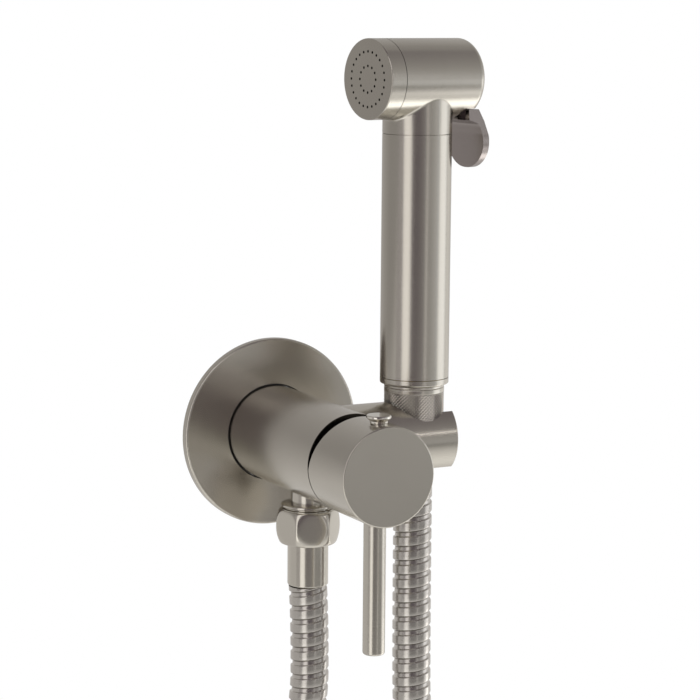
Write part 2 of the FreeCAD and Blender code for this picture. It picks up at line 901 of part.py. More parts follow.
def ribbed_hose(points, name):
    """A ruled loft through four circles a rib, with its bore."""
    radii = arc_radii(points)
    wire = Part.Wire(rounded_edges(points, radii))
    length = wire.Length
    ribs = int((length - 2 * fit) / rib_pitch)
    lead = (length - ribs * rib_pitch) / 2
    flank = 0.05 * rib_pitch
    marks = [(0.0, hose_d / 2)]
    for k in range(ribs):
        low = lead + k * rib_pitch
        high = low + rib_share * rib_pitch
        marks += [(low + flank, hose_d / 2), (high, hose_d / 2),
                  (high + flank, hose_d / 2 - rib_depth), (low + rib_pitch, hose_d / 2 - rib_depth)]
    marks.append((length, hose_d / 2 - rib_depth))
    places = stations(wire, [m[0] for m in marks])
    outer = Part.makeLoft([circle_at(p, t, m[1]) for (p, t), m in zip(places, marks)], True, True)
    bore = Part.makeLoft([circle_at(p, t, hose_bore_d / 2) for p, t in places], True, True)
    solid = outer.cut(bore)
    mean_area = math.pi * ((hose_d / 2) ** 2 - (hose_bore_d / 2) ** 2)
    print(name, "length", round(length, 1), "ribs", ribs, "radii",
          [round(r, 1) for r in radii if r], "volume share", round(solid.Volume / (mean_area * length), 3))
    return solid, length


def coil_point(turn):
    """A point of the coil's centre line; turn runs from 0 to coil_turns."""
    a = math.radians(180 - coil_lean) + 2 * math.pi * turn
    mid_x = handset_x / 2
    mid_y = -(outlet_out + handset_out) / 2
    y = mid_y + (coil_turns / 2 - turn) * (hose_d + coil_gap)
    return Vector(mid_x + coil_d / 2 * math.cos(a), y, coil_up + coil_d / 2 * math.sin(a))


def coil_tangent(turn):
    a = math.radians(180 - coil_lean) + 2 * math.pi * turn
    t = Vector(-math.sin(a), -(hose_d + coil_gap) / (math.pi * coil_d), math.cos(a))
    return t.normalize()


def biarc(p1, t1, p2, t2):
    """Two tangent arcs from p1 along t1 to p2 along t2."""
    v = p2 - p1
    s = t1 + t2
    k = 2 * (1 - t1.dot(t2))
    d = (-v.dot(s) + math.sqrt(v.dot(s) ** 2 + k * v.dot(v))) / k
    q1 = p1 + t1 * d
    q2 = p2 - t2 * d
    middle = (q1 + q2) * 0.5
    return [corner_arc(p1, q1, middle), corner_arc(middle, q2, p2)]


def corner_arc(a, corner, b):
    """The arc from a to b that is tangent to both legs of a corner."""
    u = (corner - a).normalize()
    v = (b - corner).normalize()
    turn = u.getAngle(v)
    r = (corner - a).Length / math.tan(turn / 2)
    middle = corner + (v - u).normalize() * (r / math.cos(turn / 2) - r)
    return Part.Arc(a, middle, b).toShape()


def wound(point, heading, turns):
    """Quarter-turn biarcs along a winding, given by its point and heading at each turn."""
    steps = int(math.ceil(turns * 4))
    ends = [turns * k / steps for k in range(steps + 1)]
    edges = []
    for a, b in zip(ends, ends[1:]):
        edges += biarc(point(a), heading(a), point(b), heading(b))
    return edges


def hose_coil():
    """The turns of hose put away below the mixer, as one tube."""
    start = coil_point(0) - coil_tangent(0) * hose_d
    stop = coil_point(coil_turns) + coil_tangent(coil_turns) * hose_d
    edges = [Part.LineSegment(start, coil_point(0)).toShape()]
    edges += wound(coil_point, coil_tangent, coil_turns)
    edges.append(Part.LineSegment(coil_point(coil_turns), stop).toShape())
    wire = Part.Wire(edges)
    shells = [
        wire.makePipeShell([circle_at(start, coil_tangent(0), d / 2)], True, False)
        for d in (hose_d, hose_bore_d)
    ]
    solid = shells[0].cut(shells[1])
    area = math.pi * (hose_d ** 2 - hose_bore_d ** 2) / 4
    print("hose_coil length", round(wire.Length, 1), "least gap", round(least_gap(wire), 2),
          "volume share", round(solid.Volume / (area * wire.Length), 3))
    return solid, wire.Length


def least_gap(wire):
    """The least gap of the coil to itself, on points 4 mm apart."""
    count = int(wire.Length / 4)
    pts = [p for p, _ in stations(wire, [wire.Length * k / count for k in range(count + 1)])]
    apart = int(math.pi * coil_d / 2 / 4)
    gaps = [(p - q).Length for i, p in enumerate(pts) for q in pts[i + apart:]]
    return min(gaps) - hose_d


def hose_routes():
    """The route points of both hanging stretches, from the fittings down to the coil."""
    first = coil_tangent(0)
    last = coil_tangent(coil_turns)
    start = coil_point(0) - first * hose_d
    stop = coil_point(coil_turns) + last * hose_d
    fall = [(0, outlet_y, ferrule_foot)] + [(x, outlet_y + y, z) for x, y, z in fall_bends]
    fall += [tuple(start - first * coil_lead), tuple(start)]
    rise = [(handset_x, -handset_out, top_ferrule_foot)]
    rise += [(handset_x + x, y - handset_out, z) for x, y, z in rise_bends]
    rise += [tuple(stop + last * coil_lead), tuple(stop)]
    return fall, rise


def hose_tie():
    """A strap round the two passes at the coil's foot."""
    low_turn = (270 - (180 - coil_lean)) / 360
    first = coil_point(low_turn)
    second = coil_point(low_turn + 1)
    r = hose_d / 2 + slack
    span = abs(first.y - second.y)

    def stadium(radius):
        pts = [Vector(0, 0, radius), Vector(0, span, radius), Vector(0, span, -radius), Vector(0, 0, -radius)]
        wire = Part.Wire([
            Part.LineSegment(pts[0], pts[1]).toShape(),
            Part.Arc(pts[1], Vector(0, span + radius, 0), pts[2]).toShape(),
            Part.LineSegment(pts[2], pts[3]).toShape(),
            Part.Arc(pts[3], Vector(0, -radius, 0), pts[0]).toShape(),
        ])
        return Part.Face(wire).extrude(Vector(tie_w, 0, 0))

    band = stadium(r + tie_t).cut(stadium(r))
    return band.translated(Vector(first.x - tie_w / 2, min(first.y, second.y), first.z))


def upper_tail():
    return on_grip(hose_tail(top_tail_top, top_tail_foot, top_ferrule_foot))


def upper_ferrule():
    solid = tube(top_ferrule_d, tail_d + 2 * fit, top_ferrule_foot, top_tail_foot - fit)
    return on_grip(solid)


def upper_washer():
    low = top_washer_foot
    return on_grip(tube(thread_d - 1.6, tail_bore_d + 3, low, grip_thread_foot - fit))


def cone_nut():
    """The knurled nut whose cone sits in the holder."""
    hole_r = top_ferrule_d / 2 + 3 * fit
    foot_r = seat_hole_d / 2 - cone_shift
    groove_top = cone_nut_top - cone_groove_down
    inner_r = thread_d / 2 + fit
    solid = turned(
        [
            (hole_r, seat_foot), (foot_r, seat_foot), (cone_nut_r, cone_top),
            (cone_nut_r, groove_top - cone_groove), (cone_nut_r - 0.3, groove_top - cone_groove),
            (cone_nut_r - 0.3, groove_top), (cone_nut_r, groove_top), (cone_nut_r, cone_nut_top),
            (inner_r, cone_nut_top), (inner_r, top_shoulder), (hole_r, top_shoulder),
        ],
        {7: 0.3},
    )
    return on_grip(solid)


def grip_end_ring():
    solid = turned(
        [(thread_d / 2 + fit, grip_foot), (grip_r, grip_foot), (grip_r, grip_foot + end_ring_h),
         (thread_d / 2 + fit, grip_foot + end_ring_h)],
        {1: end_ring_edge},
    )
    return on_grip(solid)


def grip_sleeve():
    return on_grip(tube(grip_d, grip_d - 2 * grip_wall, grip_start, grip_top))


def grip_nipple():
    """The grip's foot: a pipe thread for the cone nut, and a plug in the sleeve."""
    plug_r = grip_r - grip_wall - fit
    bore_r_in = (water_tube_d - 2 * water_tube_wall) / 2
    socket_r = water_tube_d / 2 + fit
    solid = turned(
        [
            (bore_r_in, grip_thread_foot), (thread_d / 2, grip_thread_foot),
            (thread_d / 2, grip_foot + end_ring_h + fit), (plug_r, grip_foot + end_ring_h + fit),
            (plug_r, plug_top), (socket_r, plug_top), (socket_r, plug_top - tube_socket),
            (bore_r_in, plug_top - tube_socket),
        ],
        {1: 0.4},
    )
    return on_grip(solid)


def water_tube():
    low = plug_top - tube_socket + fit
    high = grip_top + seam + tube_socket - fit
    return on_grip(tube(water_tube_d, water_tube_d - 2 * water_tube_wall, low, high))


def spray_head():
    """Head and neck in one, in the head's frame: side, up, forward."""
    rear = -head_rear
    shell = turned(
        [(0, rear), (head_r, rear), (head_r, groove_fwd), (spigot_d / 2, groove_fwd),
         (spigot_d / 2, spigot_front), (0, spigot_front)],
        {1: head_rear_round},
    )
    neck_foot = grip_top + seam - head_up
    neck = rod(grip_d, neck_foot, 0)
    spigot = rod(grip_d - 2 * grip_wall - 2 * fit, neck_foot - neck_spigot, neck_foot)
    stalk = upright(joined(neck, spigot))
    solid = joined(shell, stalk)
    solid = solid.makeFillet(saddle_round, saddle_edges(solid))
    front_bore = rod(front_bore_d, seat_fwd, spigot_front + 1)
    step_bore = rod(chamber_step_d, -chamber_back, seat_fwd)
    stem_hole = rod(stem_d + 4 * fit, -bay_back, -chamber_back)
    seal_sink = rod(stem_seal_d, -chamber_back - stem_seal_t, -chamber_back)
    solid = solid.cut(front_bore.fuse(step_bore).fuse(stem_hole).fuse(seal_sink))
    way = upright(rod(neck_way_d, neck_foot - neck_spigot - 1, 0))
    socket = upright(rod(water_tube_d + 2 * fit, neck_foot - neck_spigot - 1, neck_foot + tube_socket))
    solid = solid.cut(way.fuse(socket))
    half = trigger_stem_w / 2 + slack
    bay = block(-half, half, -head_r - 0.5, bay_top, -bay_back, -bay_front)
    wide = block(-head_r, head_r, -head_r - 1, -trigger_cut_down, -head_rear - 1, -trigger_cut_back)
    pin_hole = rod_x(trigger_pin_d + 2 * fit, -trigger_pin_len / 2 - fit, trigger_pin_len / 2 + fit,
                     -trigger_pin_down, -trigger_pin_back)
    return on_head(solid.cut(bay).cut(wide).cut(pin_hole))


def saddle_edges(solid):
    """The edges where the neck runs into the head."""
    found = []
    for edge in solid.Edges:
        p = edge.valueAt((edge.FirstParameter + edge.LastParameter) / 2)
        on_neck = abs(math.hypot(p.x, p.z) - grip_r) < fit
        on_shell = abs(math.hypot(p.x, p.y) - head_r) < fit
        if on_neck and on_shell:
            found.append(edge)
    return found


def upright(shape):
    """Stands a shape turned about Z along the head frame's up axis."""
    s = shape.copy()
    s.rotate(Vector(0, 0, 0), Vector(1, 0, 0), -90)
    return s


def spray_face():
    """The screwed cap of the head, with its two rings of spray holes."""
    solid = turned(
        [(face_lip_d / 2, face_back), (head_r, face_back), (head_r, face_fwd), (0, face_fwd),
         (0, lip_front), (face_lip_d / 2, lip_front)],
        {2: face_edge},
    )
    holes = []
    for ring_d, count in ((outer_ring_d, outer_holes), (inner_ring_d, inner_holes)):
        for k in range(count):
            a = 2 * math.pi * k / count
            x = ring_d / 2 * math.cos(a)
            y = ring_d / 2 * math.sin(a)
            holes.append(rod_at(hole_d, lip_front - 1, face_fwd + 1, x, y))
    return on_head(solid.cut(Part.makeCompound(holes)))


def face_seal():
    return on_head(
        tube(spigot_d, front_bore_d, spigot_front + fit, spigot_front + fit + face_seal_t)
    )


def valve_seat():
    """A ring on the step of the head's bore, with the lip that the valve disc shuts."""
    front = seat_fwd + seat_t
    body = tube(front_bore_d - 2 * fit, seat_orifice_d, seat_fwd + fit, front)
    lip = tube(seat_orifice_d + 2, seat_orifice_d, seat_fwd - seat_lip, seat_fwd + fit)
    return on_head(joined(body, lip))


def valve_disc():
    front = seat_fwd - seat_lip - fit
    return on_head(tube(valve_disc_d, stem_d + 2 * fit, front - valve_disc_t, front))


def valve_stem():
    """The stem with its plate in front, from the valve disc back into the trigger's bay."""
    front = seat_fwd - seat_lip - fit - valve_disc_t
    plate = rod(valve_disc_d - 1, front - valve_plate_t, front)
    shaft = rod(stem_d, stem_nut_back() + 0.2, front + valve_disc_t - 0.1)
    return on_head(joined(plate, shaft))


def fork_back():
    return -trigger_pin_back - fork_t / 2


def stem_nut_front():
    return fork_back() - fork_gap


def stem_nut_back():
    return stem_nut_front() - stem_nut_t


def stem_nut():
    return on_head(tube(stem_nut_d, stem_d + 2 * fit, stem_nut_back(), stem_nut_front()))


def stem_seal():
    low = -chamber_back - stem_seal_t + fit
    return on_head(tube(stem_seal_d - 2 * fit, stem_d + 2 * fit, low, -chamber_back - fit))


def spring_washer():
    low = -chamber_back
    return on_head(tube(spring_washer_d, stem_d + 4 * fit, low, low + spring_washer_t))


def valve_spring():
    low = -chamber_back + spring_washer_t + spring_wire / 2 + fit
    high = seat_fwd - seat_lip - fit - valve_disc_t - valve_plate_t - spring_wire / 2 - fit
    pitch = (high - low) / spring_turns
    r = spring_d / 2

    def point(turn):
        a = 2 * math.pi * turn
        return Vector(r * math.cos(a), r * math.sin(a), low + pitch * turn)

    def heading(turn):
        a = 2 * math.pi * turn
        return Vector(-math.sin(a), math.cos(a), pitch / (2 * math.pi * r)).normalize()

    path = Part.Wire(wound(point, heading, spring_turns))
    ring = circle_at(point(0), heading(0), spring_wire / 2)
    return on_head(path.makePipeShell([ring], True, False))


def trigger_side():
    """Side outline of ears, web and paddle, as (forward, up) points from the top rear down."""
    top = -trigger_cut_down - slack
    back = paddle_back
    return [
        (-ear_front, top), (-ear_front, -ear_foot), (-ear_front - 1.4, -ear_foot - 0.3),
        (-back + 2.1, -ear_foot - 1.6), (-back + 0.8, -ear_foot - 5.4), (-back + 0.1, -27.5),
        (-back, -paddle_down), (-back - paddle_t, -paddle_down), (-back - paddle_t + 0.1, -27.3),
        (-back - paddle_t + 0.5, -21.4), (-back - 0.4, -16.1), (-head_rear, top),
    ]


def trigger():
    """Paddle, ears and web in one, with a stem and fork that reach up into the head."""
    side = Part.Face(Part.Wire(rounded_edges(
        [(0, u, f) for f, u in trigger_side()],
        [0, 0.2, 0.8, 3.0, 3.0, 0, 0.6, 0.6, 5.0, 5.0, 4.0, 0.4],
        closed=True,
    )))
    plate = side.extrude(Vector(2 * paddle_d, 0, 0)).translated(Vector(-paddle_d, 0, 0))
    r = paddle_d / 2
    centre = -paddle_down + r
    half = trigger_w / 2
    top = -trigger_cut_down
    join = centre + 2.0
    edge = math.sqrt(r * r - 4.0)
    front = Part.Face(Part.Wire([
        Part.LineSegment(Vector(-half, top, 0), Vector(half, top, 0)).toShape(),
        Part.LineSegment(Vector(half, top, 0), Vector(edge, join, 0)).toShape(),
        Part.Arc(Vector(edge, join, 0), Vector(0, centre - r, 0), Vector(-edge, join, 0)).toShape(),
        Part.LineSegment(Vector(-edge, join, 0), Vector(-half, top, 0)).toShape(),
    ])).extrude(Vector(0, 0, 4 * head_rear)).translated(Vector(0, 0, -3 * head_rear))
    body = plate.common(front)
    stem_half = trigger_stem_w / 2
    web_back = -head_rear + web_t
    for low, high in ((-half + ear_t, -stem_half), (stem_half, half - ear_t)):
        body = body.cut(block(low, high, -ear_foot, 0, web_back, -ear_front + 1))
    pin_f = -trigger_pin_back
    pin_u = -trigger_pin_down
    eye = rod_x(trigger_eye_d, -stem_half, stem_half, pin_u, pin_f)
    shank = block(-stem_half, stem_half, -ear_foot + 1.5, pin_u, pin_f - 1.8, -bay_front - shank_room)
    foot = block(-stem_half, stem_half, -ear_foot + 1.0, -trigger_cut_down - slack, web_back - 0.5,
                 -bay_front - 2.6)
    fork = block(-stem_half, stem_half, pin_u, fork_over, pin_f - fork_t / 2, pin_f + fork_t / 2)
    gap = stem_d / 2 + slack
    notch = block(-gap, gap, -gap - 0.4, fork_over + 1, pin_f - fork_t, pin_f + fork_t)
    solid = joined(body, eye, shank, foot, fork).cut(notch)
    hole = rod_x(trigger_pin_d + 2 * fit, -trigger_pin_len, trigger_pin_len, pin_u, pin_f)
    return on_head(solid.cut(hole))


def trigger_pin():
    half = trigger_pin_len / 2
    return on_head(rod_x(trigger_pin_d, -half, half, -trigger_pin_down, -trigger_pin_back))


def main():
    os.makedirs("parts", exist_ok=True)
    fall, rise = hose_routes()
    drop, drop_len = ribbed_hose(fall, "hose_fall")
    climb, climb_len = ribbed_hose(rise, "hose_rise")
    coil, coil_len = hose_coil()
    print("hose length", round(drop_len + climb_len + coil_len, 1))
    print("route fall", [[round(c, 1) for c in p] for p in fall])
    print("route rise", [[round(c, 1) for c in p] for p in rise])
    nodes = {
        "wall_rose": wall_rose(),
        "rose_gasket": rose_gasket(),
        "rose_ring": rose_ring(),
        "concealed_body": concealed_body(),
        "barrel_seals": barrel_seals(),
        "mixer_barrel": mixer_barrel(),
        "barrel_screws": barrel_screws(),
        "cartridge_base": cartridge_base(),
        "cartridge_seals": cartridge_seals(),
        "cartridge_housing": cartridge_housing(),
        "fixed_disc": fixed_disc(),
        "moving_disc": moving_disc(),
        "disc_carrier": disc_carrier(),
        "turning_guide": turning_guide(),
        "cross_pin": cross_pin(),
        "ring_nut": ring_nut(),
        "spindle": spindle(),
        "cap": cap(),
        "cap_grub_screw": cap_grub_screw(),
        "index_stud": index_stud(),
        "pin_lever": pin_lever(),
        "outlet_nipple": outlet_nipple(),
        "check_valve": check_valve(),
        "hose_washer": hose_washer(),
        "hose_nut": hose_nut(),
        "lower_tail": lower_tail(),
        "lower_ferrule": lower_ferrule(),
        "hose_fall": drop,
        "hose_coil": coil,
        "hose_rise": climb,
        "hose_tie": hose_tie(),
        "upper_ferrule": upper_ferrule(),
        "upper_tail": upper_tail(),
        "upper_washer": upper_washer(),
        "cone_nut": cone_nut(),
        "grip_nipple": grip_nipple(),
        "grip_end_ring": grip_end_ring(),
        "grip_sleeve": grip_sleeve(),
        "water_tube": water_tube(),
        "spray_head": spray_head(),
        "spray_face": spray_face(),
        "face_seal": face_seal(),
        "valve_seat": valve_seat(),
        "valve_disc": valve_disc(),
        "valve_stem": valve_stem(),
        "stem_nut": stem_nut(),
        "stem_seal": stem_seal(),
        "spring_washer": spring_washer(),
        "valve_spring": valve_spring(),
        "trigger": trigger(),
        "trigger_pin": trigger_pin(),
    }
    for name, shape in nodes.items():
        if not shape.isValid():
            print("not valid:", name)
        if any(s.Volume <= 0 for s in shape.Solids) or not shape.Solids:
            print("no volume:", name)
        shape.exportStep(os.path.join("parts", name + ".step"))
    print(len(nodes), "nodes,", sum(len(s.Solids) for s in nodes.values()), "solids")


main()
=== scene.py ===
# %% [markdown]
# A bidet shower mixer stands on a wall: a round rose, a barrel with a lever at its front, an arm
# that holds the hand spray, and a metal hose that runs from under the barrel to the spray.
# The exact model comes from CAD and is loaded as a fixed frame, in metres, with +Z up and the wall
# at y = 0. Here it gets its finishes, its hose and its fine surface forms, a camera and a studio.

# %% Load the frame
import math
from bisect import bisect_right

import bpy
from mathutils import Matrix, Vector


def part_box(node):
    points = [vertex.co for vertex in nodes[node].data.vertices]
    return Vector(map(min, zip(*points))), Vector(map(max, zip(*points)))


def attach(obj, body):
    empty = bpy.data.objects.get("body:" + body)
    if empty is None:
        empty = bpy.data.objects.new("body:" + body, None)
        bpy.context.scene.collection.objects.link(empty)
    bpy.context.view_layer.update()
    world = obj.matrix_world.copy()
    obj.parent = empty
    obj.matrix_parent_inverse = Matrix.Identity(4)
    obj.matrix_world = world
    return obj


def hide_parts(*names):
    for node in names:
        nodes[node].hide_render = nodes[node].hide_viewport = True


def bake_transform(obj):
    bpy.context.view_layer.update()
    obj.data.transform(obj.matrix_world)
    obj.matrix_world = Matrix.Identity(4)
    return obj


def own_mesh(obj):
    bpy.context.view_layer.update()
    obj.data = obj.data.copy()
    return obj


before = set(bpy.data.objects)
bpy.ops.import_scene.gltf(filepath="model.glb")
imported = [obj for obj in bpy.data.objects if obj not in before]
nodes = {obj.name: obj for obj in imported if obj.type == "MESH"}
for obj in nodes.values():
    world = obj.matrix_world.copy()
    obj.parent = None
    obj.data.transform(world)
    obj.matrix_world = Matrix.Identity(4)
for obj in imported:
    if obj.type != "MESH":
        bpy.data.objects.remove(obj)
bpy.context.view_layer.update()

scene = bpy.context.scene
MM = 0.001
# The two upright axes, as x and y in mm: the hand spray's and the outlet's.
GRIP = (35.3, -55.3)
OUTLET = (0, -35.5)

# %% [markdown]
# The camera of a product photograph stands far off with a long lens, so that cylinders stay nearly
# straight. Its place was found by fitting circles and axes of the mixer to the photograph, and it
# is written here as a turn about the upright axis, a height angle, a distance and a small roll.
# A matrix built from the three view directions leaves no doubt about the roll's sign.

# %% Camera
TARGET = Vector((20.6176, -30.0, 35.3654)) * MM
AZIMUTH, HEIGHT, ROLL = (math.radians(a) for a in (-27.4765, 8.7108, 0.4610))
DISTANCE = 877.078 * MM

toward = Vector((math.sin(AZIMUTH) * math.cos(HEIGHT), -math.cos(AZIMUTH) * math.cos(HEIGHT),
                 math.sin(HEIGHT)))
level = (-toward).cross(Vector((0, 0, 1))).normalized()
upward = level.cross(-toward)
across = level * math.cos(ROLL) + upward * math.sin(ROLL)
rising = -level * math.sin(ROLL) + upward * math.cos(ROLL)

camera = bpy.data.objects.new("camera", bpy.data.cameras.new("camera"))
camera.data.sensor_width = 36.0     # mm, as is the lens
camera.data.lens = 115.587
camera.data.clip_start = 0.05
camera.matrix_world = Matrix((across, rising, toward)).transposed().to_4x4()
camera.matrix_world.translation = TARGET + toward * DISTANCE
scene.collection.objects.link(camera)
scene.camera = camera
print("camera at", [round(c, 4) for c in camera.matrix_world.translation])

# %% [markdown]
# The hose leaves the ferrule under the barrel, hangs down, and comes up again to the hand spray.
# The photograph cuts it off, so the rest of a usual 1.2 m hose is put away as one and two thirds
# turns below. One NURBS spline through a few control points gives the line of a springy hose: it
# has no corners, and a coil is only more points, placed by a loop. An order of 3 with clamped ends
# starts and stops exactly at the fittings.

# %% The hose's route
HOSE_R = 7.5 * MM
fall = [(*OUTLET, -54.6), (1, -35.5, -68), (1, -35.5, -112), (-19.8, -29.6, -179.9),
        (-39.8, -31.0, -214.5)]
rise = [(75.1, -59.8, -214.5), (55.1, -61.2, -179.9), (36.1, -55.7, -123), (*GRIP, -67),
        (*GRIP, -12)]
COIL_MIDDLE = (17.65, -45.4, -265)
COIL_RADIUS = 75
COIL_TURNS = 5 / 3
COIL_START = math.radians(150)
OUTWARD = 16.6      # mm from one turn to the next, away from the wall
STEP = 15           # degrees from one control point to the next
SPLINE_STEPS = 24

# The spline runs inside its control points, so they lie a little further out than the hose.
control_radius = COIL_RADIUS / (0.75 + 0.25 * math.cos(math.radians(STEP)))
coil = []
for k in range(int(COIL_TURNS * 360 / STEP) + 1):
    turn = k * STEP / 360
    angle = COIL_START + 2 * math.pi * turn
    coil.append((COIL_MIDDLE[0] + control_radius * math.cos(angle),
                 COIL_MIDDLE[1] + (COIL_TURNS / 2 - turn) * OUTWARD,
                 COIL_MIDDLE[2] + control_radius * math.sin(angle)))


def smooth_line(name, points):
    """A NURBS spline with the points (in mm) as control points, read back as a list of points."""
    curve = bpy.data.curves.new(name, "CURVE")
    curve.dimensions = "3D"
    spline = curve.splines.new("NURBS")
    spline.points.add(len(points) - 1)
    for at, point in zip(spline.points, points):
        at.co = (*(Vector(point) * MM), 1)
    spline.order_u = 3
    spline.use_endpoint_u = True
    curve.resolution_u = SPLINE_STEPS
    holder = bpy.data.objects.new(name, curve)
    scene.collection.objects.link(holder)
    bpy.context.view_layer.update()
    read = bpy.data.meshes.new_from_object(holder)
    line = [v.co.copy() for v in read.vertices]
    bpy.data.objects.remove(holder)
    return line


route = smooth_line("hose_route", fall + coil + rise)
reach = [0.0]
for a, b in zip(route, route[1:]):
    reach.append(reach[-1] + (b - a).length)
hose_length = reach[-1]
print("hose", len(route), "points,", round(hose_length, 4), "m")

# %% [markdown]
# The hose itself is a steel strip wound into a spiral: each turn has a raised band that ends in a
# sharp lip, and under the lip a channel slides in and out as the hose bends. A texture can't notch
# the outline, so the spiral is modelled. Rows of vertices follow the spiral: the point at angle phi
# of a row lies phi / 360 of a pitch further along, so lips and channels are clean mesh edges.

# %% The spiral strip
PITCH = 5.6 * MM
AROUND = 40
# Each row as a share of one pitch, from the top down, and how far it lies under HOSE_R, in mm:
# the band, the channel under its lip, and the step that leads to the next band.
STRIP = [(0.0, 0.12), (0.02, 0.03), (0.05, 0.0), (0.08, 0.0), (0.32, 0.0), (0.56, 0.0),
         (0.585, 0.03), (0.61, 0.14), (0.615, 2.2), (0.7, 2.2), (0.705, 0.85), (0.74, 0.8),
         (0.93, 0.72), (0.965, 0.68), (0.985, 0.6), (0.99, 0.2)]


def station(along):
    """The point and heading of the route at a distance from its start."""
    along = min(max(along, 0.0), hose_length)
    high = min(bisect_right(reach, along), len(reach) - 1)
    low = high - 1
    share = (along - reach[low]) / (reach[high] - reach[low])
    before, after = max(low - 1, 0), min(high + 1, len(route) - 1)
    first = (route[high] - route[before]).normalized()
    second = (route[after] - route[low]).normalized()
    return route[low].lerp(route[high], share), first.lerp(second, share).normalized()


def mesh_piece(name, points, faces, smooth=True):
    mesh = bpy.data.meshes.new(name)
    mesh.from_pydata([tuple(p) for p in points], [], faces)
    mesh.validate()
    if smooth:
        mesh.shade_smooth()
    piece = bpy.data.objects.new(name, mesh)
    scene.collection.objects.link(piece)
    return piece


# The lips point down where the hose falls and where it rises, so the strip is turned over halfway.
TURNED_OVER = [(1 - share, under) for share, under in reversed(STRIP)]
rows = []
for k in range(-1, int(hose_length / PITCH) + 1):
    falling = (k + 0.5) * PITCH < hose_length / 2
    for share, under in STRIP if falling else TURNED_OVER:
        rows.append(((k + share) * PITCH, HOSE_R - under * MM))
points, faces = [], []
for start, radius in rows:
    for j in range(AROUND):
        phi = 2 * math.pi * j / AROUND
        along = start + PITCH * j / AROUND
        centre, heading = station(along)
        side = (Vector((0, 1, 0)) - heading * heading.y).normalized()
        other = heading.cross(side)
        points.append(centre + (side * math.cos(phi) + other * math.sin(phi)) * radius)
for i in range(len(rows) - 1):
    for j in range(AROUND):
        # The last column joins the first one of the next pitch, which keeps the spiral whole.
        here = i * AROUND + j
        if j < AROUND - 1:
            faces.append((here, here + 1, here + AROUND + 1, here + AROUND))
        elif i + 1 + len(STRIP) < len(rows):
            seam = (i + len(STRIP)) * AROUND
            faces.append((here, seam, seam + AROUND, here + AROUND))
hose = mesh_piece("metal_hose", points, faces)
print("hose mesh", len(points), "points,", len(faces), "faces")

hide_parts("hose_fall", "hose_coil", "hose_rise")
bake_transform(hose)

# %% [markdown]
# Two passes of the coil are held together at its foot by a flat strap. It is a stadium-shaped ring:
# its section is a thin rounded bar, and it runs round both passes.

# %% Strap of the coil
def ring_along(name, loop, section, centre):
    """A closed tube whose section, given as (out, along) offsets, follows a flat closed loop."""
    points, faces = [], []
    count, sides = len(loop), len(section)
    for k in range(count):
        ahead = (loop[(k + 1) % count] - loop[k - 1]).normalized()
        out = Vector((0, ahead.z, -ahead.y))
        if out.dot(loop[k] - centre) < 0:
            out = -out
        for outward, along in section:
            points.append(loop[k] + out * outward + Vector((along, 0, 0)))
    for k in range(count):
        here, there = k * sides, (k + 1) % count * sides
        for j in range(sides):
            beside = (j + 1) % sides
            faces.append((here + j, here + beside, there + beside, there + j))
    return mesh_piece(name, points, faces)


tie_low, tie_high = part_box("hose_tie")
tie_mid = (tie_low + tie_high) / 2
tie_half = (tie_high - tie_low) / 2
INSIDE = 0.05 * MM      # how far the strap stays inside the CAD tie's box
STRAP_POINTS = 48
half_w, half_t = tie_half.x - INSIDE, 0.65 * MM
bend = tie_half.z - half_t - INSIDE
straight = tie_half.y - tie_half.z
loop = []
for k in range(STRAP_POINTS):
    angle = 2 * math.pi * (k + 0.5) / STRAP_POINTS
    shift = straight if math.cos(angle) > 0 else -straight
    loop.append(tie_mid + Vector((0, shift + bend * math.cos(angle), bend * math.sin(angle))))
# One half of the bar's section, from its inner face to its outer one; the other half mirrors it.
half_section = [(-half_t, 0), (-half_t, half_w - half_t), (-0.3 * half_t, half_w),
                (0.5 * half_t, half_w), (half_t, half_w - half_t), (half_t, 0)]
section = half_section + [(outward, -along) for outward, along in half_section[-2:0:-1]]
strap = ring_along("coil_strap", loop, section, tie_mid)
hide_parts("hose_tie")
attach(strap, "root")
print("strap", [round(c / MM, 1) for c in tie_half * 2], "mm")

# %% [markdown]
# Shader maths reads best as plain sums, so one small class wraps the output of a node: adding two
# of them adds a Math node. A finish is a material with one Principled shader, and one method adds
# any other node.

# %% Values and finishes
class Value:
    """A number, vector or colour on its way through the nodes of a material."""

    def __init__(self, tree, socket):
        self.tree, self.socket = tree, socket

    def maths(self, operation, *parts):
        node = self.tree.nodes.new("ShaderNodeMath")
        node.operation = operation
        for socket, part in zip(node.inputs, parts):
            feed(self.tree, socket, part)
        return Value(self.tree, node.outputs[0])

    def __add__(self, other):
        return self.maths("ADD", self, other)

    def __sub__(self, other):
        return self.maths("SUBTRACT", self, other)

    def __mul__(self, other):
        return self.maths("MULTIPLY", self, other)

    def __lt__(self, other):
        return self.maths("LESS_THAN", self, other)

    __radd__ = __add__

    def held(self):
        """The same value, held between 0 and 1."""
        return self.maths("MINIMUM", self.maths("MAXIMUM", self, 0.0), 1.0)


def feed(tree, socket, part):
    """Gives a socket a link if the part is a Value, and otherwise a plain setting."""
    if isinstance(part, Value):
        tree.links.new(part.socket, socket)
    elif socket.type == "RGBA":
        socket.default_value = (*part, 1.0)
    else:
        socket.default_value = part


